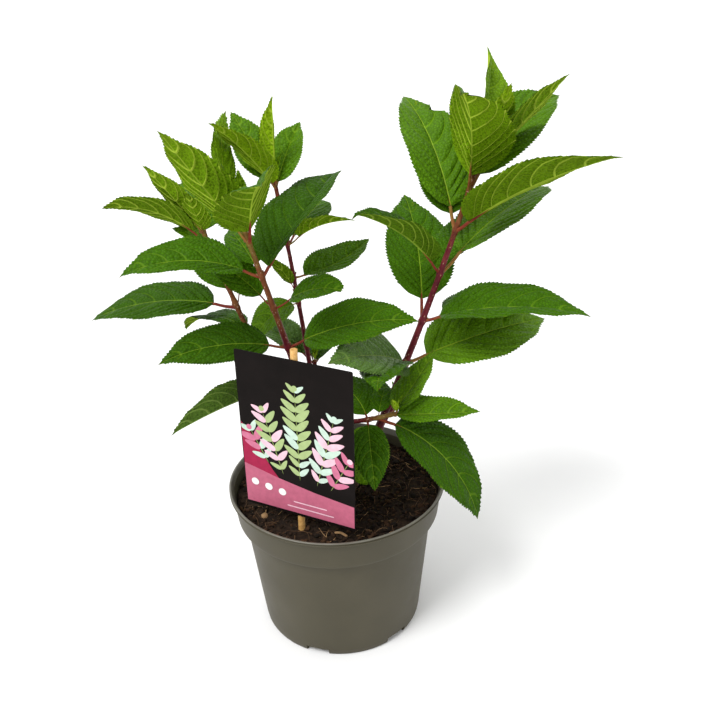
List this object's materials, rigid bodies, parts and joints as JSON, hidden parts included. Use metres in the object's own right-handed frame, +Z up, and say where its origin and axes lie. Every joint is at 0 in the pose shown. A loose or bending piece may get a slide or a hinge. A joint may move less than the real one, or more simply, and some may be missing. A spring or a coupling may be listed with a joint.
{
  "type": "hydrangea shrub",
  "caption": "Young panicle hydrangea shrub with leaning red stems and broad pointed green leaves, rooted in compost in a round taupe nursery pot with a picture label on a stick.",
  "frame": {"origin": "centre of the pot's flat underside", "axes": "+Z up along the pot's axis, -Y towards the side that the label faces, +X to the right of someone facing the label"},
  "size_m": [0.4121, 0.2467, 0.4862],
  "materials": {
    "pot_plastic": "satin recycled plastic, slightly paler at its edges",
    "compost": "rough dark peat with fibres and a few pale granules",
    "printed_card": "smooth printed plastic card",
    "bamboo": "smooth split bamboo",
    "bark": "young burgundy bark with pale pores",
    "leaf": "quilted leaf, softly glossy above and paler below"
  },
  "bodies": {
    "root": {"pot": "pot_plastic", "soil": "compost", "label_card": "printed_card", "label_stick": "bamboo", "trunk": "bark", "front_left_bough": "bark", "left_bough": "bark", "back_bough": "bark", "right_bough": "bark", "front_right_bough": "bark", "right_lower_foliage": "leaf", "right_upper_foliage": "leaf", "right_top_foliage": "leaf", "front_left_lower_foliage": "leaf", "front_left_upper_foliage": "leaf", "front_left_top_foliage": "leaf", "left_lower_foliage": "leaf", "left_top_foliage": "leaf", "back_lower_foliage": "leaf", "back_top_foliage": "leaf", "front_right_foliage": "leaf", "low_left_foliage": "leaf", "low_back_foliage": "leaf", "low_right_foliage": "leaf"}
  },
  "joints": []
}
